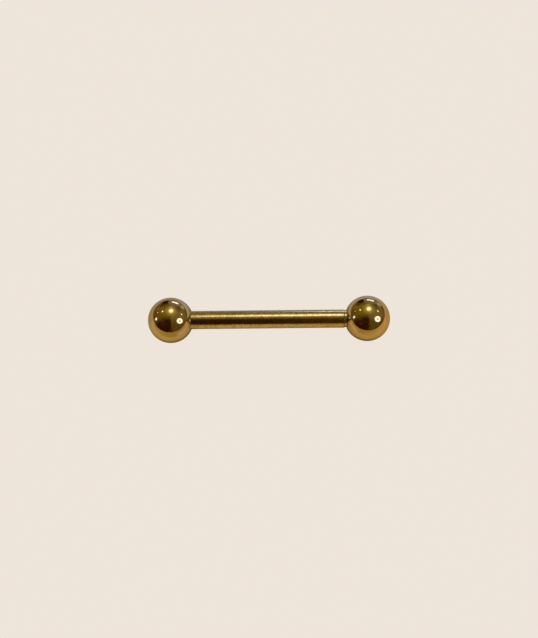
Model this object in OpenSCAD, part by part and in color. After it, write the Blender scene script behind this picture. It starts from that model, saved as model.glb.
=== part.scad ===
// Straight barbell for a piercing: a round bar, threaded at both ends, with a screw-on ball at each end.
// It lies on its two balls. +X runs along the bar, +Z is up, and the origin is on the surface under
// the middle of the whole barbell. All sizes are in millimetres.

/* [Balls] */
// Diameter of each ball
ball_d = 4.0; // [4:0.1:6]
// Gap on the radius between a ball's hole and the smooth bar
hole_gap = 0.02; // [0.01:0.01:0.05]
// Width of the countersink that breaks the edge of each hole
hole_chamfer = 0.08; // [0.02:0.01:0.15]
// Space left beyond the tip of the bar in a ball that is screwed home
tip_space = 0.1; // [0.05:0.05:0.3]

/* [Bar] */
// Diameter of the smooth bar, 14 gauge
bar_d = 1.6; // [1.4:0.05:1.8]
// Length of bar that shows between the balls when both are screwed home
wear_length = 13.3; // [8:0.1:30]
// How far the smooth bar reaches into a ball that is screwed home
seat_depth = 0.12; // [0.1:0.01:0.2]
// How far the right ball is unscrewed from home
right_ball_out = 0.31; // [0:0.01:0.4]

/* [Thread] */
// Distance between neighbouring turns of the thread
pitch = 0.35; // [0.3:0.05:0.4]
// Length of each threaded end beyond the smooth bar
thread_length = 2.6; // [2:0.1:2.6]
// Depth of the thread
thread_depth = 0.19; // [0.1:0.01:0.2]
// How far the threaded end steps in from the smooth bar, on the radius
shoulder_depth = 0.035; // [0.02:0.005:0.05]
// Length of the bevel at that step
shoulder_length = 0.05; // [0.03:0.01:0.1]
// Length of the plain collar between the step and the first turn
collar_length = 0.2; // [0.2:0.05:0.3]
// Length of the bevel on the tip of each thread
tip_bevel = 0.24; // [0.1:0.02:0.3]

/* [Hidden] */
$fn = 96;

ball_gold = [0.80, 0.60, 0.24];
bar_gold = [0.74, 0.56, 0.24];

ball_r = ball_d / 2;
bar_r = bar_d / 2;
hole_r = bar_r + hole_gap;
hole_depth = seat_depth + thread_length + tip_space;

// Distance from a ball's centre to the circle in which its surface meets the bar
mouth_offset = sqrt(pow(ball_r, 2) - pow(bar_r, 2));
// Distance from a ball's centre to the outer edge of its countersink
chamfer_offset = sqrt(pow(ball_r, 2) - pow(hole_r + hole_chamfer, 2));

// The ball centres lie evenly about the origin, so the bar's own middle is a little to the left
ball_centre_x = wear_length / 2 + mouth_offset + right_ball_out / 2;
bar_middle_x = -right_ball_out / 2;
smooth_half = wear_length / 2 + seat_depth;

// Each ball is turned by this many degrees on the bar, so that it lies on a flat of its faceted outline
ball_turn = 4;

// The thread's crests stay just inside the collar, which is slightly tapered
collar_r = bar_r - shoulder_depth;
collar_taper = 0.004;
crest_r = collar_r - collar_taper - 0.004;
root_r = crest_r - thread_depth;
tip_r = root_r - 0.04;
runout_turns = 0.8; // turns over which the thread reaches its full depth

// One end of the bar's outline, as radius and distance from the middle
BAR_END = [
    [bar_r, smooth_half - shoulder_length],
    [collar_r, smooth_half],
    [collar_r - collar_taper, smooth_half + collar_length],
    [0, smooth_half + collar_length],
];

// The hole's outline in a ball, as radius and distance from the ball's centre, with a drill's point
HOLE = [
    [0, mouth_offset - hole_depth - hole_r / 2],
    [hole_r, mouth_offset - hole_depth],
    [hole_r, chamfer_offset - hole_chamfer],
    [hole_r + ball_r, chamfer_offset - hole_chamfer + ball_r],
    [0, chamfer_offset - hole_chamfer + ball_r],
];

// The thread's outline over one pitch, as share of the pitch and height as a share of the depth.
// The crest is an eighth of the pitch wide and the root a quarter, with flanks of 60 degrees between.
THREAD = [[0, 0], [5 / 16, 1], [7 / 16, 1], [3 / 4, 0]];
sides_per_turn = 20;
rod_start = collar_length - 0.15; // the threaded rod reaches back into the collar

// Radius of the thread at distance z beyond the smooth bar, where its outline has the given height
function thread_radius(z, height) =
    let (grown = min(1, max(0, (z - collar_length) / (runout_turns * pitch))),
         radius = crest_r - thread_depth * grown * (1 - height),
         bevelled = tip_r + (thread_length - z) * (crest_r - tip_r) / tip_bevel)
    max(tip_r / 2, min(radius, bevelled));

// The threaded rod along +Z as a helical skin: column g goes round the axis, station j along the outline.
// The skin starts and ends about a turn beyond the length that is kept, and is cut square there.
module thread_rod() {
    stations = len(THREAD);
    last = stations - 1;
    z_low = rod_start - 1.5 * pitch;
    turns = ceil((thread_length - rod_start) / pitch + 2);
    columns = turns * sides_per_turn;
    function corner(g, j) = g * stations + j;
    skin = [
        for (g = [0 : columns], j = [0 : last])
            let (angle = 360 * g / sides_per_turn,
                 z = z_low + pitch * (g / sides_per_turn + THREAD[j][0]),
                 radius = thread_radius(z, THREAD[j][1]))
            [radius * cos(angle), radius * sin(angle), z]
    ];
    low_centre = len(skin);
    high_centre = low_centre + 1;
    centres = [
        [0, 0, z_low + pitch / 2],
        [0, 0, z_low + pitch * (turns + 1 / 4)],
    ];
    // Quads within each turn, then those that join it to the next turn
    quads = concat(
        [for (g = [0 : columns - 1], j = [0 : last - 1])
            [corner(g, j), corner(g + 1, j), corner(g + 1, j + 1), corner(g, j + 1)]],
        [for (g = [0 : columns - sides_per_turn - 1])
            let (above = g + sides_per_turn)
            [corner(g, last), corner(g + 1, last), corner(above + 1, 0), corner(above, 0)]]);
    low_edge = concat(
        [for (g = [0 : sides_per_turn]) corner(g, 0)],
        [for (j = [last : -1 : 1]) corner(0, j)]);
    high_edge = concat(
        [for (g = [columns - sides_per_turn : columns]) corner(g, last)],
        [for (j = [last - 1 : -1 : 0]) corner(columns, j)]);
    faces = concat(
        [for (q = quads) [q[0], q[2], q[1]]],
        [for (q = quads) [q[0], q[3], q[2]]],
        [for (k = [0 : len(low_edge) - 1])
            [low_centre, low_edge[k], low_edge[(k + 1) % len(low_edge)]]],
        [for (k = [0 : len(high_edge) - 1])
            [high_centre, high_edge[(k + 1) % len(high_edge)], high_edge[k]]]);
    intersection() {
        polyhedron(points = concat(skin, centres), faces = faces, convexity = 10);
        translate([0, 0, rod_start])
            cylinder(r = bar_d, h = thread_length - rod_start);
    }
}

// Turns what is built along +Z about the origin so that it points along X, at a ball's height
module along_x(x, side) {
    translate([x, 0, ball_r])
        rotate([0, 90 * side, 0])
            children();
}

module bar() {
    low_end = [for (k = [len(BAR_END) - 1 : -1 : 0]) [BAR_END[k][0], -BAR_END[k][1]]];
    color(bar_gold) {
        along_x(bar_middle_x, 1)
            rotate_extrude()
                polygon(concat(low_end, BAR_END));
        for (side = [-1, 1])
            along_x(bar_middle_x + side * smooth_half, side)
                thread_rod();
    }
}

// A ball with its blind hole opening along +Z
module drilled_ball() {
    rotate([0, 0, ball_turn])
        difference() {
            sphere(r = ball_r);
            rotate_extrude()
                polygon(HOLE);
        }
}

module left_ball() {
    color(ball_gold)
        along_x(-ball_centre_x, 1)
            drilled_ball();
}

module right_ball() {
    color(ball_gold)
        along_x(ball_centre_x, -1)
            drilled_ball();
}

bar();
left_ball();
right_ball();
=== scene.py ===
import math
import bpy
import numpy as np
from mathutils import Matrix, Vector


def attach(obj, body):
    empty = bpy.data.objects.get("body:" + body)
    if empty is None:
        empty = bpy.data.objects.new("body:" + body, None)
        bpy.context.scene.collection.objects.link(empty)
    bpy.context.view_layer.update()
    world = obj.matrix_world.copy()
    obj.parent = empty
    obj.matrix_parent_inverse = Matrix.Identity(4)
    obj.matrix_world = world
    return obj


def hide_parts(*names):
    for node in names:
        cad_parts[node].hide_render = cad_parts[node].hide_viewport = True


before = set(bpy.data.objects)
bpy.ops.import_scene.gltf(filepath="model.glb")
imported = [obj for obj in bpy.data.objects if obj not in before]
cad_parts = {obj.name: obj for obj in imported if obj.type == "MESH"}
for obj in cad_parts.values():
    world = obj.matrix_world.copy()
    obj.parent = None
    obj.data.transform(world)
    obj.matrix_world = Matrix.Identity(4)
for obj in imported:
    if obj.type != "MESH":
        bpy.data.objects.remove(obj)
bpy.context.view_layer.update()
print("frame loaded with", ", ".join(sorted(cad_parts)))

mm = 0.001      # the scene is in metres, the sizes below in millimetres
um = 0.000001   # and the heights of scratches in micrometres
fullTurn = 2 * math.pi


# The camera stands where the photograph was taken from

shot = {
    "elevation": 60.0,       # degrees above the floor
    "roll": -0.57,           # degrees; the bar's right end stands a little higher in the picture
    "distance": 96.7,        # mm from the point that it looks at
    "aim": (0.0, 0.033, 2.0),
    "lens": 62.0,            # mm, on the usual 36 mm sensor
    "clip": (1.0, 5000.0),   # mm from the camera between which things are drawn
}


def placeCamera(shot):
    turn = Matrix.Rotation(math.radians(90 - shot["elevation"]), 4, "X")
    turn = turn @ Matrix.Rotation(math.radians(shot["roll"]), 4, "Z")
    back = turn.to_3x3() @ Vector((0, 0, 1))
    data = bpy.data.cameras.new("camera")
    data.lens = shot["lens"]
    data.clip_start, data.clip_end = [end * mm for end in shot["clip"]]
    camera = bpy.data.objects.new("camera", data)
    place = Vector(shot["aim"]) * mm + back * shot["distance"] * mm
    camera.matrix_world = Matrix.Translation(place) @ turn
    bpy.context.collection.objects.link(camera)
    bpy.context.scene.camera = camera


placeCamera(shot)
bpy.context.scene.view_settings.view_transform = "Standard"
print("camera placed")


# Small helpers for shader nodes

def feed(tree, socket, value):
    if isinstance(value, bpy.types.NodeSocket):
        tree.links.new(value, socket)
    else:
        socket.default_value = value


def addNode(tree, kind, inputs, **settings):
    node = tree.nodes.new(kind)
    for key, value in settings.items():
        setattr(node, key, value)
    for key, value in inputs.items():
        feed(tree, node.inputs[key], value)
    return node


def calculate(tree, operation, a, b=0.0):
    return addNode(tree, "ShaderNodeMath", {0: a, 1: b}, operation=operation).outputs[0]


def multiply(tree, product, *factors):
    for factor in factors:
        product = calculate(tree, "MULTIPLY", product, factor)
    return product


# A length, distance or dot product
def measure(tree, operation, a, b=(0, 0, 0)):
    return addNode(tree, "ShaderNodeVectorMath", {0: a, 1: b}, operation=operation).outputs["Value"]


def grey(tree, value):
    return addNode(tree, "ShaderNodeCombineXYZ", {0: value, 1: value, 2: value}).outputs[0]


# Inputs 6 and 7 of a Mix node are its two colours, and its output 2 is the mixed one
def mixColours(tree, share, a, b, blend="MIX"):
    node = addNode(tree, "ShaderNodeMix", {0: share, 6: a, 7: b}, data_type="RGBA", blend_type=blend)
    return node.outputs[2]


def smoothRange(tree, value, low, high, toLow=0.0, toHigh=1.0):
    inputs = {"Value": value, "From Min": low, "From Max": high, "To Min": toLow, "To Max": toHigh}
    return addNode(tree, "ShaderNodeMapRange", inputs, interpolation_type="SMOOTHSTEP").outputs[0]


def noise(tree, vector, scale, detail=2.0, roughness=0.5):
    inputs = {"Vector": vector, "Scale": scale, "Detail": detail, "Roughness": roughness}
    return addNode(tree, "ShaderNodeTexNoise", inputs).outputs[0]


def newGroup(name, inputs, outputs):
    group = bpy.data.node_groups.new(name, "ShaderNodeTree")
    kinds = {"float": "NodeSocketFloat", "vector": "NodeSocketVector", "colour": "NodeSocketColor"}
    for label, kind in inputs.items():
        group.interface.new_socket(name=label, in_out="INPUT", socket_type=kinds[kind])
    for label, kind in outputs.items():
        group.interface.new_socket(name=label, in_out="OUTPUT", socket_type=kinds[kind])
    taken = group.nodes.new("NodeGroupInput").outputs
    given = group.nodes.new("NodeGroupOutput").inputs
    return group, taken, given


def placeGroup(tree, group, inputs):
    node = tree.nodes.new("ShaderNodeGroup")
    node.node_tree = group
    for key, value in inputs.items():
        feed(tree, node.inputs[key], value)
    return node.outputs


def newMaterial(name):
    material = bpy.data.materials.new(name)
    material.use_nodes = True
    material.node_tree.nodes.clear()
    return material, material.node_tree


def showShader(tree, shader):
    addNode(tree, "ShaderNodeOutputMaterial", {"Surface": shader.outputs[0]})


# The room that the gold mirrors

# Headings are degrees to the right of +Y, which points away from the camera, and heights are degrees
# above the floor. The sizes of the patches are degrees too, as seen from the barbell
room = {
    "dome": (1.0, 1.0, 1.0, 1.0),               # even light on the floor
    "backdrop": (0.8592, 0.7812, 0.7075, 1.0),  # what the camera sees past the floor's edge
    "walls": (0.142, 0.100, 0.037, 1.0),
    "patches": [
        # name, heading, height, half its width, half its height, softness, colour
        ("left wall", -105, 32, 34, 26, 0.5, (0.106, 0.0625, 0.023, 1)),
        ("upper left wall", -72, 40, 26, 22, 0.5, (0.160, 0.112, 0.028, 1)),
        ("ceiling left", -46, 58, 25, 28, 0.6, (0.220, 0.195, 0.012, 1)),
        ("ceiling right", 50, 50, 34, 36, 0.5, (0.255, 0.200, 0.115, 1)),
        ("ceiling over the right end", 100, 72, 26, 20, 0.6, (0.215, 0.180, 0.150, 1)),
        ("back wall", 14, 16, 26, 20, 0.4, (0.220, 0.230, 0.300, 1)),
        ("right wall", 82, 26, 17, 20, 0.5, (0.220, 0.180, 0.110, 1)),
        ("lower right", 150, 22, 28, 22, 0.5, (0.127, 0.085, 0.031, 1)),
        ("near side", -147, 14, 39, 26, 0.3, (0.031, 0.009, 0.001, 1)),
        ("behind the lens", -175, 37, 9.5, 33, 0.6, (0.033, 0.011, 0.001, 1)),
        ("over the lens", -153, 50, 17, 13, 0.7, (0.026, 0.011, 0.003, 1)),
        ("plum corner", -138, 25, 11, 8, 0.6, (0.0625, 0.018, 0.037, 1)),
        ("dim corner", -27, 17, 20, 13, 0.5, (0.084, 0.060, 0.012, 1)),
        ("beside the dim corner", -49, 17, 8, 15, 0.5, (0.210, 0.175, 0.090, 1)),
        ("under the dim corner", -34, 2, 8, 6, 0.5, (0.230, 0.175, 0.115, 1)),
        ("doorway", -17, 11, 9.5, 13, 0.35, (0.024, 0.011, 0.003, 1)),
        ("door frame", -3, 13, 4.5, 14, 0.4, (0.260, 0.250, 0.310, 1)),
        ("right of the window", 36, 18, 15, 14, 0.4, (0.250, 0.260, 0.360, 1)),
        ("right of the ceiling lamp", 41, 37, 13, 16, 0.5, (0.120, 0.108, 0.075, 1)),
        ("pale spot", 41, 10, 7, 8, 0.5, (0.50, 0.58, 1.00, 1)),
        ("glow round the ceiling lamp", 14, 70, 19, 19, 0.8, (0.54, 0.53, 0.25, 1)),
        ("streak under the ceiling lamp", 4, 50, 6, 7, 0.7, (0.50, 0.48, 0.30, 1)),
        ("ceiling lamp", 13.8, 70, 8.8, 10, 0.55, (2.05, 2.2, 3.7, 1)),
    ],
    "skirting": 0.6,             # how bright the walls are at the floor, but for the back wall
    "skirtingTop": 0.10,         # sine of the height at which they have their full light
    "skirtingTurn": (0.3, 0.8),  # cosines of the headings between which it fades out to the back
}


def headingToDirection(heading, height):
    heading, height = math.radians(heading), math.radians(height)
    flat = math.cos(height)
    return Vector((math.sin(heading) * flat, math.cos(heading) * flat, math.sin(height)))


# An elliptical patch: the dot products with two vectors across and up it, each divided by the sine of
# half the patch's size, reach 1 at its rim. Their root sum of squares is the distance from its middle
def makeSoftPatch():
    group, taken, given = newGroup(
        "softPatch",
        {"Direction": "vector", "Towards": "vector", "Across": "vector", "Up": "vector",
         "Full": "float", "End": "float", "Under": "colour", "Colour": "colour"},
        {"Colour": "colour"})

    def along(axis):
        return measure(group, "DOT_PRODUCT", taken["Direction"], taken[axis])

    across, up = along("Across"), along("Up")
    squares = calculate(group, "ADD", multiply(group, across, across), multiply(group, up, up))
    share = smoothRange(group, calculate(group, "SQRT", squares), taken["Full"], taken["End"], 1.0, 0.0)
    ahead = calculate(group, "GREATER_THAN", along("Towards"), 0.0)
    share = multiply(group, share, ahead)
    feed(group, given["Colour"], mixColours(group, share, taken["Under"], taken["Colour"]))
    return group


def buildRoom(room):
    world = bpy.data.worlds.new("room")
    bpy.context.scene.world = world
    world.use_nodes = True
    world.cycles.sampling_method = "NONE"       # mirrored rays find the room by themselves
    tree = world.node_tree
    tree.nodes.clear()
    softPatch = makeSoftPatch()
    direction = addNode(tree, "ShaderNodeTexCoord", {}).outputs["Generated"]
    colour = room["walls"]
    for _, heading, height, halfWidth, halfHeight, softness, tint in room["patches"]:
        towards = headingToDirection(heading, height)
        inputs = {
            "Direction": direction, "Towards": towards,
            "Across": headingToDirection(heading + 90, 0) / math.sin(math.radians(halfWidth)),
            "Up": headingToDirection(heading, height + 90) / math.sin(math.radians(halfHeight)),
            "Full": 1 - softness, "End": 1 + softness, "Under": colour, "Colour": tint,
        }
        colour = placeGroup(tree, softPatch, inputs)["Colour"]
    split = addNode(tree, "ShaderNodeSeparateXYZ", {0: direction}).outputs
    skirting = smoothRange(tree, split["Y"], *room["skirtingTurn"], room["skirting"], 1.0)
    shade = smoothRange(tree, split["Z"], 0.0, room["skirtingTop"], skirting, 1.0)
    colour = mixColours(tree, 1.0, colour, grey(tree, shade), "MULTIPLY")
    path = addNode(tree, "ShaderNodeLightPath", {}).outputs
    light = mixColours(tree, path["Is Camera Ray"], room["dome"], room["backdrop"])
    light = mixColours(tree, path["Is Glossy Ray"], light, colour)
    background = addNode(tree, "ShaderNodeBackground", {"Color": light, "Strength": 1.0})
    addNode(tree, "ShaderNodeOutputWorld", {"Surface": background.outputs[0]})


buildRoom(room)
print("room built")


# Meshes from whole arrays

# The number of each point of some rings, that of the next point round, and quads that join the rings
def joinNeighbours(rings):
    ringCount, sides, _ = rings.shape
    corner = np.arange(ringCount * sides).reshape(ringCount, sides)
    beside = np.roll(corner, -1, axis=1)
    quads = np.stack([corner[:-1], beside[:-1], beside[1:], corner[1:]], axis=-1).reshape(-1, 4)
    return corner, beside, quads


# rings[i, j] is point j of ring i, in mm. Quads join neighbouring rings, and a fan of triangles joins the
# first and the last ring to a pole. marks are values at the points, and a pole has the mean of its ring
def closedSurface(name, rings, poles, marks):
    corner, beside, quads = joinNeighbours(rings)
    ringCount, sides = corner.shape
    pole = np.full((2, sides), ringCount * sides) + np.array([[0], [1]])
    firstFan = np.stack([pole[0], beside[0], corner[0]], axis=-1)
    lastFan = np.stack([pole[1], corner[-1], beside[-1]], axis=-1)
    points = np.concatenate([rings.reshape(-1, 3), poles]) * mm
    corners = np.concatenate([quads.ravel(), firstFan.ravel(), lastFan.ravel()])
    fanStarts = 4 * len(quads) + 3 * np.arange(2 * sides)
    starts = np.concatenate([4 * np.arange(len(quads)), fanStarts])
    mesh = bpy.data.meshes.new(name)
    mesh.vertices.add(len(points))
    mesh.vertices.foreach_set("co", points.astype(np.float32).ravel())
    mesh.loops.add(len(corners))
    mesh.loops.foreach_set("vertex_index", corners.astype(np.int32))
    mesh.polygons.add(len(starts))
    mesh.polygons.foreach_set("loop_start", starts.astype(np.int32))
    mesh.update(calc_edges=True)
    mesh.validate()
    mesh.shade_smooth()
    for label, values in marks.items():
        atPoles = values[[0, -1]].mean(axis=1)
        marked = np.concatenate([values.ravel(), atPoles]).astype(np.float32)
        mesh.attributes.new(label, "FLOAT", "POINT").data.foreach_set("value", marked)
    return mesh


# Flat rings round the Z axis, one for each radius: x = radius * cos(angle) and y = radius * sin(angle)
def flatRings(radii, sides):
    angle = np.linspace(0, fullTurn, sides, endpoint=False)[None, :]
    return np.stack([
        radii[:, None] * np.cos(angle),
        radii[:, None] * np.sin(angle),
        np.zeros((len(radii), sides))], axis=-1)


# Rings, in metres, joined by quads alone, with the corners the other way round, so that they face up
def openSurface(name, rings):
    _, _, quads = joinNeighbours(rings)
    mesh = bpy.data.meshes.new(name)
    mesh.from_pydata(rings.reshape(-1, 3).tolist(), [], quads[:, [0, 3, 2, 1]].tolist())
    return mesh


# Walks an outline at even steps and averages every point with its neighbours, which rounds the corners.
# The weights are exp(-(distance / softness)^2 / 2), up to bellReach times the softness. Returns the
# lengths walked, the rounded points, and the length at which each corner comes
def roundedOutline(corners, step, softness, bellReach=3):
    corners = np.array(corners, float)
    reached = np.concatenate([[0], np.cumsum(np.hypot(*np.diff(corners, axis=0).T))])
    walked = np.linspace(0, reached[-1], int(reached[-1] / step) + 1)
    points = np.stack([np.interp(walked, reached, side) for side in corners.T], axis=1)
    reach = int(bellReach * softness / step)
    weights = np.exp(-0.5 * (np.arange(-reach, reach + 1) * step / softness) ** 2)
    weights /= weights.sum()
    padded = np.concatenate([
        2 * points[:1] - points[reach:0:-1], points, 2 * points[-1:] - points[-2:-reach - 2:-1]])
    smooth = np.stack([np.convolve(side, weights, "valid") for side in padded.T], axis=1)
    return walked, smooth, reached


# Rows at even steps on some stretches of an outline. A stretch is its start and its end, both in mm along
# the outline, and its number of rows
def rowsAlong(stretches):
    return np.concatenate([np.linspace(*stretch) for stretch in stretches])


# 0 up to low, 1 from high on, and share^2 * (3 - 2 * share) for the share of the way between them
def smoothStep(value, low, high):
    share = np.clip((value - low) / (high - low), 0, 1)
    return share * share * (3 - 2 * share)


# How near places are to the closest of some corners: exp(-(distance / width)^2), so 1 at a corner
def nearCorners(places, corners, width):
    gap = np.abs(np.asarray(places)[:, None] - np.asarray(corners)[None, :]).min(axis=1)
    return np.exp(-(gap / width) ** 2)


thread = {
    "pitch": 0.35,
    "flank": (0.05, 0.385),  # where a flank begins and ends, in pitches from the middle of the crest
}


# Height of a thread, for a distance along its axis and an angle round it: 1 at its crest, 0 at its root,
# and a soft step on each flank. The crest moves along by one pitch a turn, the right-handed way
def threadHeight(along, angle):
    phase = along / thread["pitch"] - angle / fullTurn
    fromCrest = np.abs((phase + 0.5) % 1 - 0.5)
    return 1 - smoothStep(fromCrest, *thread["flank"])


def showPiece(name, mesh, body, node, material):
    piece = bpy.data.objects.new(name, mesh)
    bpy.context.collection.objects.link(piece)
    mesh.materials.append(material)
    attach(piece, body)
    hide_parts(node)
    print("made", name, "with", len(mesh.polygons), "faces")


# Finishes that both golds share

# A pair gives the values of a noise at which an effect begins and is full. The noises keep near 0.5
effects = {
    "hairline": 0.016,                # a hairline runs where its noise is within this of 0.5
    "hairlinePatches": (0.48, 0.62),
    "patchScale": 0.83,               # scale of the patches against that of the hairlines
    "haze": (0.42, 0.72),
    "hazeShare": 0.5,                 # how hazy the grain is, against a hairline
    "wear": (0.85, 1.35),             # of the edge's wear and the specks together
    "wearSpecks": 0.7,
    # grime and painted shade in the hollows
    "grimeAndShadeEven": 0.7,
    "grimeAndShadeSpecks": 0.6,
    "warmToGreen": (0.30, 0.70),
    "smears": (0.46, 0.70),
    "mottle": (0.39, 0.61),
}


# Height in micrometres = waves * their height + grain * its height - hairlines * their depth. The haze is
# the greater of the hairlines and a share of the grain
def makePolishMarks():
    group, taken, given = newGroup(
        "polishMarks",
        {"Vector": "vector", "Wave Vector": "vector", "Wave Scale": "float", "Wave Height": "float",
         "Grain Scale": "float", "Grain Height": "float", "Hairline Scale": "float",
         "Hairline Depth": "float"},
        {"Height": "float", "Haze": "float"})
    waves = noise(group, taken["Wave Vector"], taken["Wave Scale"])
    grain = noise(group, taken["Vector"], taken["Grain Scale"], detail=3.0, roughness=0.6)
    contour = noise(group, taken["Vector"], taken["Hairline Scale"], detail=1.0)
    fromContour = calculate(group, "ABSOLUTE", calculate(group, "SUBTRACT", contour, 0.5))
    line = smoothRange(group, fromContour, 0.0, effects["hairline"], 1.0, 0.0)
    patchScale = multiply(group, taken["Hairline Scale"], effects["patchScale"])
    patches = noise(group, taken["Vector"], patchScale, detail=1.0)
    hairline = multiply(group, line, smoothRange(group, patches, *effects["hairlinePatches"]))
    height = calculate(group, "ADD", multiply(group, waves, taken["Wave Height"]),
                       multiply(group, grain, taken["Grain Height"]))
    cut = multiply(group, hairline, taken["Hairline Depth"])
    feed(group, given["Height"], calculate(group, "SUBTRACT", height, cut))
    haze = multiply(group, smoothRange(group, grain, *effects["haze"]), effects["hazeShare"])
    feed(group, given["Haze"], calculate(group, "MAXIMUM", hairline, haze))
    return group


# Wear where edges stand proud, and grime with painted shade where the surface lies deep, both broken up by
# specks
def makeWearGrimeAndShade():
    group, taken, given = newGroup(
        "wearGrimeAndShade",
        {"Vector": "vector", "Worn": "float", "Sunk": "float", "Speck Scale": "float"},
        {"Wear": "float", "GrimeAndShade": "float"})
    specks = noise(group, taken["Vector"], taken["Speck Scale"], detail=3.0, roughness=0.6)
    reach = calculate(group, "ADD", taken["Worn"], multiply(group, specks, effects["wearSpecks"]))
    feed(group, given["Wear"], smoothRange(group, reach, *effects["wear"]))
    cling = calculate(group, "ADD", multiply(group, specks, effects["grimeAndShadeSpecks"]), effects["grimeAndShadeEven"])
    feed(group, given["GrimeAndShade"], multiply(group, taken["Sunk"], cling))
    return group


# Slow drifts of the coating's tint from warm to greenish, smears that handling leaves, and a fine mottle
def makeCoatingDrift():
    group, taken, given = newGroup(
        "coatingDrift",
        {"Vector": "vector", "Place": "vector", "Drift Scale": "float", "Smear Scale": "float",
         "Mottle Scale": "float"},
        {"Tint": "float", "Smear": "float", "Mottle": "float"})
    drift = noise(group, taken["Vector"], taken["Drift Scale"])
    smear = noise(group, taken["Vector"], taken["Smear Scale"], detail=4.0, roughness=0.62)
    mottle = noise(group, taken["Place"], taken["Mottle Scale"], detail=4.0, roughness=0.9)
    feed(group, given["Tint"], smoothRange(group, drift, *effects["warmToGreen"]))
    feed(group, given["Smear"], smoothRange(group, smear, *effects["smears"]))
    feed(group, given["Mottle"], smoothRange(group, mottle, *effects["mottle"]))
    return group


polishMarks = makePolishMarks()
wearGrimeAndShade = makeWearGrimeAndShade()
coatingDrift = makeCoatingDrift()


# Polished gold. The look gives the colours that the effects mix in, their scales in waves per metre,
# heights and depths in micrometres, and what each effect adds to the roughness
def makeGold(name, look):
    material, tree = newMaterial(name)
    place = addNode(tree, "ShaderNodeTexCoord", {}).outputs["Object"]
    grainwise, wavewise = [
        addNode(tree, "ShaderNodeMapping", {"Vector": place, "Scale": look[stretch]}).outputs[0]
        for stretch in ("stretch", "waveStretch")]
    worn, sunk = [
        addNode(tree, "ShaderNodeAttribute", {}, attribute_name=label).outputs["Fac"]
        for label in ("worn", "sunk")]
    marks = placeGroup(tree, polishMarks, {
        "Vector": grainwise, "Wave Vector": wavewise,
        "Wave Scale": look["waveScale"], "Wave Height": look["waveHeight"],
        "Grain Scale": look["grainScale"], "Grain Height": look["grainHeight"],
        "Hairline Scale": look["hairlineScale"], "Hairline Depth": look["hairlineDepth"]})
    edges = placeGroup(tree, wearGrimeAndShade, {
        "Vector": place, "Worn": worn, "Sunk": sunk, "Speck Scale": look["speckScale"]})
    coating = placeGroup(tree, coatingDrift, {
        "Vector": grainwise, "Place": place, "Drift Scale": look["driftScale"],
        "Smear Scale": look["smearScale"], "Mottle Scale": look["mottleScale"]})
    colour = mixColours(tree, coating["Tint"], look["warmGold"], look["greenGold"])
    # The grime share darkens the hollows with grime and painted shade
    for share, tint in (
            (multiply(tree, coating["Mottle"], look["mottleShare"]), "dullGold"),
            (edges["Wear"], "wornMetal"),
            (multiply(tree, edges["GrimeAndShade"], look["grimeAndShadeShare"]), "grimeAndShade")):
        colour = mixColours(tree, share, colour, look[tint])
    roughness = look["roughness"]
    for share, more in (
            (marks["Haze"], "hazeRoughness"),
            (coating["Smear"], "smearRoughness"),
            (edges["GrimeAndShade"], "grimeRoughness")):
        roughness = calculate(tree, "ADD", roughness, multiply(tree, share, look[more]))
    relief = {"Height": marks["Height"], "Distance": um, "Strength": 1.0}
    bump = addNode(tree, "ShaderNodeBump", relief).outputs[0]
    showShader(tree, addNode(tree, "ShaderNodeBsdfPrincipled", {
        "Base Color": colour, "Metallic": 1.0, "Roughness": roughness, "Normal": bump,
        "Specular Tint": look["rimTint"]}))
    return material


ballLook = {
    "warmGold": (0.74, 0.47, 0.135, 1),
    "greenGold": (0.70, 0.49, 0.13, 1),
    "dullGold": (0.50, 0.33, 0.07, 1),            # in the mottle
    "wornMetal": (0.80, 0.66, 0.36, 1),
    # grime and painted shade in the hollows
    "grimeAndShade": (0.10, 0.055, 0.02, 1),
    "rimTint": (0.75, 0.72, 0.66, 1),             # reflection at the most glancing angles
    "stretch": (1, 1, 1),
    "waveStretch": (1, 1, 1),
    "waveScale": 800, "waveHeight": 1.6,          # waves of about 1 mm
    "grainScale": 9000, "grainHeight": 0.05,
    "hairlineScale": 1100, "hairlineDepth": 0.25,
    "mottleScale": 1800, "mottleShare": 0.25,
    "driftScale": 520, "smearScale": 900,
    "speckScale": 9000, "grimeAndShadeShare": 0.8,
    "roughness": 0.075, "hazeRoughness": 0.05, "smearRoughness": 0.06, "grimeRoughness": 0.25,
}
barLook = {
    "warmGold": (0.82, 0.56, 0.18, 1),
    "greenGold": (0.79, 0.58, 0.18, 1),
    "dullGold": (0.38, 0.25, 0.04, 1),
    "wornMetal": (0.80, 0.68, 0.42, 1),
    # grime and painted shade in the hollows
    "grimeAndShade": (0.09, 0.05, 0.02, 1),
    "rimTint": (0.75, 0.72, 0.66, 1),
    "stretch": (0.4, 1, 1),                       # draws the marks out along the bar
    "waveStretch": (0.15, 1, 1),
    "waveScale": 4000, "waveHeight": 3.0,         # waves of about 0.25 by 1.7 mm
    "grainScale": 16000, "grainHeight": 0.12,
    "hairlineScale": 2600, "hairlineDepth": 0.3,
    "mottleScale": 4500, "mottleShare": 0.8,
    "driftScale": 700, "smearScale": 1600,
    "speckScale": 9000, "grimeAndShadeShare": 0.6,
    "roughness": 0.13, "hazeRoughness": 0.08, "smearRoughness": 0.06, "grimeRoughness": 0.25,
}
ballGold = makeGold("ballGold", ballLook)
barGold = makeGold("barGold", barLook)
print("gold mixed")


# The two balls

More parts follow.
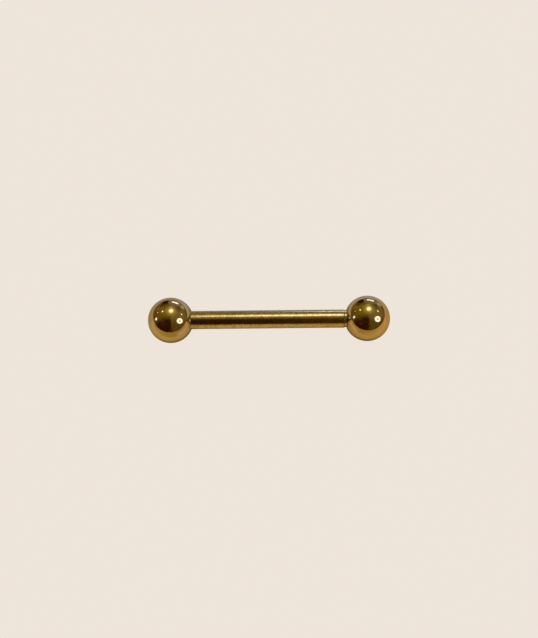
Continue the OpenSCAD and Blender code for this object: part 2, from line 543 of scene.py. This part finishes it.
ball = {
    "radius": 2.0,                 # in mm, like the other lengths
    "centre": 8.638,               # from the middle of the barbell
    "barRadius": 0.8,
    "holeRadius": 0.82,
    "holeDepth": 2.82,             # from the circle where the smooth bar meets the ball
    "countersink": 0.08,           # width of the bevel round the hole
    "edgeSoftness": 0.012,         # rounding of the edges
    "grooveDepth": 0.1,            # of the thread inside the hole
    "threadStart": (0.16, 0.36),   # from the hole's lip, where the thread begins and is deep
    "threadEnd": (0.1, 0.3),       # from the hole's bottom, where it ends and is still deep
    "rimWear": 0.6,                # wear of the rim round the hole
    "rimWidth": 0.02,
    "rimPlace": -0.03,             # from the hole's mouth, along the outline
    # Inside the hole the gold is darkened by grime and painted shade, more in the thread's groove
    "grimeAndShadeStart": (-0.03, 0.01),   # from there too, where the grime and painted shade begin and are full
    "holeGrimeAndShade": 0.8,
    "grooveGrimeAndShade": 0.2,            # how much more there is in the groove
    "arcPoints": 400,              # corners of the round part of the outline
    "step": 0.003,                 # between the points that are averaged
    "sides": 144,
}


# A ball with its hole opening along +X. The outline runs from the far side of the ball over its mouth and
# down the hole to the point that a drill leaves, and turns once round the axis: x = along - centre,
# y = out * cos(angle), z = out * sin(angle) + radius. In the hole, out grows by grooveDepth * height of
# the thread. The ball at the right end has x and y negated
def ballSurface(name, ball, turned, material):
    radius, hole = ball["radius"], ball["holeRadius"]
    mouthRadius = hole + ball["countersink"]
    mouth = math.sqrt(radius ** 2 - mouthRadius ** 2)
    seat = math.sqrt(radius ** 2 - ball["barRadius"] ** 2)
    lip = mouth - ball["countersink"]
    bottom = seat - ball["holeDepth"]
    drillPoint = bottom - hole / 2
    arc = np.linspace(math.pi, math.asin(mouthRadius / radius), ball["arcPoints"])
    outline = np.concatenate([
        np.stack([radius * np.cos(arc), radius * np.sin(arc)], axis=1),
        [[lip, hole], [bottom, hole], [drillPoint, 0.0]]])
    walked, smooth, reached = roundedOutline(outline, ball["step"], ball["edgeSoftness"])
    mouthAt, lipAt, bottomAt, pointAt = reached[-4:]
    rows = rowsAlong([
        (0.03, mouthAt - 0.08, 104),             # round the ball
        (mouthAt - 0.07, lipAt + 0.04, 26),      # over the bevel
        (lipAt + 0.06, bottomAt - 0.05, 118),    # down the hole
        (bottomAt - 0.03, pointAt - 0.04, 14)])  # to the drill's point
    along, out = [np.interp(rows, walked, side)[:, None] for side in smooth.T]
    angle = np.linspace(0, fullTurn, ball["sides"], endpoint=False)[None, :]
    inHole = (rows > lipAt)[:, None]
    grown = smoothStep(lip - along, *ball["threadStart"]) * smoothStep(along - bottom, *ball["threadEnd"])
    groove = threadHeight(along, angle) * grown * inHole
    out = out + ball["grooveDepth"] * groove
    side = -1 if turned else 1
    rings = np.stack([
        np.broadcast_to(side * (along - ball["centre"]), groove.shape),
        side * out * np.cos(angle),
        out * np.sin(angle) + radius], axis=-1)
    poles = [[side * (x - ball["centre"]), 0.0, radius] for x in (-radius, drillPoint)]
    fromMouth = rows - mouthAt
    onRim = nearCorners(fromMouth, [ball["rimPlace"]], ball["rimWidth"])[:, None]
    # Grime and painted shade darken the hole, more in the thread's groove
    inside = smoothStep(fromMouth, *ball["grimeAndShadeStart"])[:, None]
    worn = np.broadcast_to(ball["rimWear"] * onRim, groove.shape)
    sunk = inside * (ball["holeGrimeAndShade"] + ball["grooveGrimeAndShade"] * groove)
    mesh = closedSurface(name, rings, poles, {"worn": worn, "sunk": sunk})
    body = "right_ball" if turned else "left_ball"
    showPiece(name, mesh, body, body, material)


ballSurface("polished_left_ball", ball, False, ballGold)
ballSurface("polished_right_ball", ball, True, ballGold)


# The bar

bar = {
    "radius": 0.8,                 # in mm, like the other lengths
    "middle": -0.155,              # where its middle lies along X
    "smoothHalf": 6.77,            # half the length of the smooth part, with its bevels
    "shoulderLength": 0.05,        # of the bevel that steps in to the collar
    "collarRadius": 0.765,
    "collarLength": 0.2,
    "collarTaper": 0.004,          # how much thinner it is at its outer end
    "collarStep": 0.02,            # length of the small step from the collar to the crests
    "threadLength": 2.6,
    "threadDepth": 0.19,
    "crestRadius": 0.757,
    "runout": 0.28,                # over which the thread reaches its depth
    "tipRadius": 0.527,
    "tipBevel": 0.24,
    "edgeSoftness": 0.009,         # rounding of the edges
    "tipWearWidth": 0.03,
    "crestWear": 0.75,
    "shoulderWear": 0.3,
    "shoulderWearWidth": 0.02,
    # A dark line of grime and painted shade in the crease at the shoulder
    "shoulderGrimeAndShade": 0.25,
    "shoulderGrimeAndShadeWidth": 0.04,
    "outlineLead": 0.4,            # how far before the shoulder the outline begins
    "step": 0.002,                 # between the points that are averaged
    "middleRows": 130,             # on the smooth part between the two outlines
    "sides": 128,
}


# The outline of one end runs from a little before its shoulder to the middle of its face. It is mirrored
# for the other end, even rows fill the smooth middle, and it turns once round the axis: x = along + middle,
# y = out * cos(angle), z = out * sin(angle) + the balls' radius. In the thread, out is the lesser of the
# outline and crestRadius - threadDepth * (1 - height of the thread)
def barSurface(name, bar, material):
    half, tip = bar["smoothHalf"], bar["smoothHalf"] + bar["threadLength"]
    shoulder, collar = half - bar["shoulderLength"], half + bar["collarLength"]
    outline = [
        (shoulder - bar["outlineLead"], bar["radius"]),
        (shoulder, bar["radius"]),
        (half, bar["collarRadius"]),
        (collar, bar["collarRadius"] - bar["collarTaper"]),
        (collar + bar["collarStep"], bar["crestRadius"]),
        (tip - bar["tipBevel"], bar["crestRadius"]),
        (tip, bar["tipRadius"]),
        (tip, 0.0),
    ]
    walked, smooth, reached = roundedOutline(outline, bar["step"], bar["edgeSoftness"])
    _, shoulderAt, collarAt, _, threadAt, tipBevelAt, faceAt, endAt = reached
    rows = rowsAlong([
        (0.0, shoulderAt - 0.05, 5),
        (shoulderAt - 0.04, collarAt + 0.05, 26),  # down the shoulder
        (collarAt + 0.07, threadAt - 0.01, 8),     # along the collar
        (threadAt, tipBevelAt - 0.02, 106),        # along the thread
        (tipBevelAt - 0.01, faceAt + 0.03, 26),    # down the tip's bevel
        (faceAt + 0.05, endAt - 0.05, 8)])         # in over the face
    along, out = [np.interp(rows, walked, side) for side in smooth.T]
    middleRows = np.linspace(-along[0], along[0], bar["middleRows"] + 2)[1:-1]
    x = np.concatenate([-along[::-1], middleRows, along])[:, None]
    out = np.concatenate([out[::-1], np.full(len(middleRows), bar["radius"]), out])[:, None]
    angle = np.linspace(0, fullTurn, bar["sides"], endpoint=False)[None, :]
    beyond = np.abs(x) - half
    inThread = beyond > bar["collarLength"]
    crest = threadHeight(x, angle)
    grown = smoothStep(beyond, bar["collarLength"], bar["collarLength"] + bar["runout"])
    cut = bar["crestRadius"] - bar["threadDepth"] * grown * (1 - crest)
    surface = np.where(inThread, np.minimum(out, cut), out)
    rings = np.stack([
        np.broadcast_to(x + bar["middle"], surface.shape),
        surface * np.cos(angle),
        surface * np.sin(angle) + ball["radius"]], axis=-1)
    poles = [[bar["middle"] + side * tip, 0.0, ball["radius"]] for side in (-1, 1)]
    edge = nearCorners(rows, [tipBevelAt, faceAt], bar["tipWearWidth"])
    edge += bar["shoulderWear"] * nearCorners(rows, [shoulderAt], bar["shoulderWearWidth"])
    edge = np.concatenate([edge[::-1], np.zeros(len(middleRows)), edge])[:, None]
    worn = np.maximum(edge, bar["crestWear"] * crest * grown * inThread)
    # Grime and painted shade at the shoulder and in the thread's roots
    fromShoulder = beyond + bar["shoulderLength"] / 2
    onShoulder = bar["shoulderGrimeAndShade"] * np.exp(-(fromShoulder / bar["shoulderGrimeAndShadeWidth"]) ** 2)
    sunk = np.maximum(onShoulder, (1 - crest) * grown * inThread)
    mesh = closedSurface(name, rings, poles, {"worn": worn, "sunk": sunk})
    showPiece(name, mesh, "bar", "bar", material)


barSurface("threaded_bar", bar, barGold)


# The floor

floor = {
    "radius": 600.0,               # in mm, like the other lengths
    "drop": 0.01,                  # below the balls
    "colour": (0.8592, 0.7812, 0.7075, 1),
    "shadow": 0.02,                # share of the soft shadow that shows under the barbell
    "ringRadii": (0.01, 1.0),      # of its first two rings; then they grow by an even factor
    "rings": 41,
    "sides": 96,

    # What the metal mirrors is painted light and shade, the floor coloured as though unevenly lit, first by
    # direction from the middle of the barbell. A colour comes in between two cosines of the angle from its
    # own direction, which is +X for right and +Y for behind
    "left": (0.47, 0.435, 0.33, 1),
    "right": (0.56, 0.455, 0.34, 1),
    "toRight": (-0.9, 0.9),
    "behind": (0.48, 0.57, 1.13, 1),
    "toBehind": (0.1, 0.9),
    "inFront": (0.41, 0.315, 0.165, 1),
    "toInFront": (0.2, 0.95),
    "inFrontWay": (-0.14, -0.99, 0),

    # Then by place: painted lighter and darker patches near the barbell, and a painted shadow under each
    # ball. A side is a pair of lengths along X, and a reach a pair of distances from the X axis
    "farLeft": (0.42, 0.37, 0.40, 1),
    "farLeftSide": (-6.0, 3.0),
    "farLeftReach": (10.0, 14.0),
    "frontToBack": (-2.5, 2.5),    # along Y, where the close colours of the front end
    "closeLeft": (0.62, 0.54, 0.44, 1),
    "closeRight": (0.64, 0.51, 0.36, 1),
    "toCloseRight": (-0.8, 0.8),
    "closeReach": (3.8, 6.2),
    "closeMiddle": (0.62, 0.55, 0.60, 1),
    "closeMiddleAt": -1.0,         # along X, and its side is measured from there
    "closeMiddleSide": (2.5, 6.0),
    "closeMiddleReach": (5.0, 12.0),
    "betweenBalls": (0.44, 0.36, 0.29, 1),
    "betweenReach": (5.0, 9.0),    # from the middle of the barbell
    "contactShade": 0.5,           # how bright the painted shadow under a ball is
    "contactReach": (1.6, 3.1),    # from the point under the ball's centre
    "sheetEnds": (36.0, 60.0),     # how far in front and behind the metal loses sight of the floor
}


# A soft change between two lengths in mm
def fade(tree, value, reach, toNear, toFar):
    near, far = [length * mm for length in reach]
    return smoothRange(tree, value, near, far, toNear, toFar)


# 0 up to the first length, and 1 from the second on
def fadeIn(tree, value, reach):
    return fade(tree, value, reach, 0.0, 1.0)


# 1 up to the first length, and 0 from the second on
def fadeOut(tree, value, reach):
    return fade(tree, value, reach, 1.0, 0.0)


# The floor's colour as the metal mirrors it, painted light and shade with a painted shadow under each ball:
# each colour lies over those before it, by its share
def paintedFloorLight(tree, floor, place):
    way = addNode(tree, "ShaderNodeVectorMath", {0: place}, operation="NORMALIZE").outputs[0]
    rightward, backward, _ = addNode(tree, "ShaderNodeSeparateXYZ", {0: way}).outputs
    forward = measure(tree, "DOT_PRODUCT", way, floor["inFrontWay"])
    along, across, _ = addNode(tree, "ShaderNodeSeparateXYZ", {0: place}).outputs
    fromAxis = calculate(tree, "ABSOLUTE", across)
    fromMiddle = calculate(tree, "SUBTRACT", along, floor["closeMiddleAt"] * mm)
    fromMiddle = calculate(tree, "ABSOLUTE", fromMiddle)
    front = fadeOut(tree, across, floor["frontToBack"])
    back = calculate(tree, "SUBTRACT", 1.0, front)
    atFarLeft = multiply(
        tree, fadeOut(tree, along, floor["farLeftSide"]), fadeIn(tree, across, floor["farLeftReach"]))
    closeBy = multiply(tree, fadeOut(tree, fromAxis, floor["closeReach"]), front)
    inMiddle = multiply(
        tree, fadeOut(tree, fromMiddle, floor["closeMiddleSide"]),
        fadeOut(tree, fromAxis, floor["closeMiddleReach"]), front)
    between = multiply(tree, fadeOut(tree, measure(tree, "LENGTH", place), floor["betweenReach"]), back)
    toCloseRight = smoothRange(tree, rightward, *floor["toCloseRight"])
    close = mixColours(tree, toCloseRight, floor["closeLeft"], floor["closeRight"])
    colour = floor["left"]
    for share, over in (
            (smoothRange(tree, rightward, *floor["toRight"]), floor["right"]),
            (smoothRange(tree, backward, *floor["toBehind"]), floor["behind"]),
            (smoothRange(tree, forward, *floor["toInFront"]), floor["inFront"]),
            (atFarLeft, floor["farLeft"]),
            (closeBy, close),
            (inMiddle, floor["closeMiddle"]),
            (between, floor["betweenBalls"])):
        colour = mixColours(tree, share, colour, over)
    # A painted shadow round the point under each ball
    fromBalls = [
        measure(tree, "DISTANCE", place, (side * ball["centre"] * mm, 0, 0)) for side in (-1, 1)]
    fromBall = calculate(tree, "MINIMUM", *fromBalls)
    shade = fade(tree, fromBall, floor["contactReach"], floor["contactShade"], 1.0)
    return mixColours(tree, 1.0, colour, grey(tree, shade), "MULTIPLY")


# The camera sees one plain colour with a faint shadow. The metal sees the mirrored colours, painted light
# and shade, and nothing beyond the ends of the sheet
def makeFloorMaterial(floor):
    material, tree = newMaterial("paleFloor")
    place = addNode(tree, "ShaderNodeTexCoord", {}).outputs["Object"]
    path = addNode(tree, "ShaderNodeLightPath", {}).outputs
    mirrored = paintedFloorLight(tree, floor, place)
    colour = mixColours(tree, path["Is Glossy Ray"], floor["colour"], mirrored)
    lit = addNode(tree, "ShaderNodeBsdfDiffuse", {"Color": colour}).outputs[0]
    even = addNode(tree, "ShaderNodeEmission", {"Color": floor["colour"]}).outputs[0]
    share = multiply(tree, path["Is Camera Ray"], 1 - floor["shadow"])
    seen = addNode(tree, "ShaderNodeMixShader", {0: share, 1: lit, 2: even}).outputs[0]
    across = addNode(tree, "ShaderNodeSeparateXYZ", {0: place}).outputs["Y"]
    beyond = fadeIn(tree, calculate(tree, "ABSOLUTE", across), floor["sheetEnds"])
    gone = multiply(tree, beyond, path["Is Glossy Ray"])
    clear = addNode(tree, "ShaderNodeBsdfTransparent", {}).outputs[0]
    showShader(tree, addNode(tree, "ShaderNodeMixShader", {0: gone, 1: seen, 2: clear}))
    return material


def makeFloor(floor):
    first, second = floor["ringRadii"]
    radii = np.concatenate([[first], np.geomspace(second, floor["radius"], floor["rings"] - 1)])
    rings = flatRings(radii, floor["sides"]) - np.array([0, 0, floor["drop"]])
    piece = bpy.data.objects.new("floor", openSurface("floor", rings * mm))
    piece.data.materials.append(makeFloorMaterial(floor))
    bpy.context.collection.objects.link(piece)


makeFloor(floor)
print("floor laid")


# Lamps that are seen only as highlights in the metal

# A window is a rectangle, and the other lamps are round
lamps = [
    # name, heading, height, distance in mm, width and height in degrees, glow
    ("window", 12.2, 12.0, 3000, 20.6, 9.2, (1.85, 2.4, 5.9, 1)),
    ("wall_lamp_left", -93.2, 16.4, 3000, 9, 12, (1.9, 2.6, 6.6, 1)),
    ("downlight_left", -61.0, 49.3, 3000, 4.5, 4.2, (4.3, 4.9, 10.5, 1)),
    ("downlight_far_left", -67.9, 25.0, 3000, 4, 4, (1.5, 1.35, 2.2, 1)),
    ("downlight_right", 75.5, 36.0, 75, 4, 4, (3.8, 4.6, 11.0, 1)),
    ("ring_lamp_middle", 115.8, 31.6, 455, 15, 15, (0.80, 1.0, 1.9, 1)),
]
ringLamp = {
    "heading": 115.8,
    "height": 31.6,
    "distance": 450.0,       # mm
    "outer": 24.8,           # degrees across its short axis, as the balls see it
    "inner": 11.2,
    "widening": 1.26,        # its long axis over its short one
    "sides": 64,
    "lean": 124.0,           # degrees; the turn of its long axis that makes it look round in the balls
    "glow": (1.9, 2.6, 5.8, 1),
}
lampSides = 48
lampOpening = 0.001                 # the open middle of a lamp's card, as a share of the card
secondBounce = (1.0, 1.15, 3.0, 1)  # how much brighter the lamps are in reflections of reflections


# A flat card that glows towards the barbell and shows only in the metal. A ray has a depth of 1 after
# its first reflection and of 2 after the second, where the card is brighter
def hangCard(name, heading, height, distance, mesh, glow):
    direction = headingToDirection(heading, height)
    turn = direction.to_track_quat("Z", "Y").to_matrix().to_4x4()
    place = Vector((0, 0, ball["radius"] * mm)) + direction * distance * mm
    piece = bpy.data.objects.new(name, mesh)
    piece.matrix_world = Matrix.Translation(place) @ turn
    bpy.context.collection.objects.link(piece)
    material, tree = newMaterial(name + "_glow")
    depth = addNode(tree, "ShaderNodeLightPath", {}).outputs["Ray Depth"]
    bounces = {"Value": depth, "From Min": 1.0, "From Max": 2.0}
    share = addNode(tree, "ShaderNodeMapRange", bounces).outputs[0]
    brighter = [a * b for a, b in zip(glow, secondBounce)]
    colour = mixColours(tree, share, glow, brighter)
    showShader(tree, addNode(tree, "ShaderNodeEmission", {"Color": colour}))
    mesh.materials.append(material)
    piece.visible_camera = False
    piece.visible_diffuse = False
    piece.visible_transmission = False
    piece.visible_volume_scatter = False
    piece.visible_shadow = False


# Half the size of something that looks this many degrees wide: distance * tan(degrees / 2)
def halfSize(distance, degrees):
    return distance * mm * np.tan(np.radians(np.asarray(degrees) / 2))


def hangLamp(name, heading, height, distance, width, tall, glow):
    halfWidth, halfTall = halfSize(distance, width), halfSize(distance, tall)
    radii = np.array([lampOpening, 1.0])
    if "window" in name:
        corners = np.array([[-1, -1, 0], [1, -1, 0], [1, 1, 0], [-1, 1, 0]])
        rings = radii[:, None, None] * corners
    else:
        rings = flatRings(radii, lampSides)
    mesh = openSurface(name, rings * np.array([halfWidth, halfTall, 1.0]))
    hangCard(name, heading, height, distance, mesh, glow)


def hangRingLamp(ringLamp):
    heading, height, distance = [ringLamp[key] for key in ("heading", "height", "distance")]
    radii = halfSize(distance, [ringLamp["inner"], ringLamp["outer"]])
    rings = flatRings(radii, ringLamp["sides"]) * np.array([ringLamp["widening"], 1.0, 1.0])
    mesh = openSurface("ring_lamp", rings)
    mesh.transform(Matrix.Rotation(math.radians(ringLamp["lean"]), 4, "Z"))
    hangCard("ring_lamp", heading, height, distance, mesh, ringLamp["glow"])


for lamp in lamps:
    hangLamp(*lamp)
hangRingLamp(ringLamp)
print("lamps hung:", len(lamps) + 1)
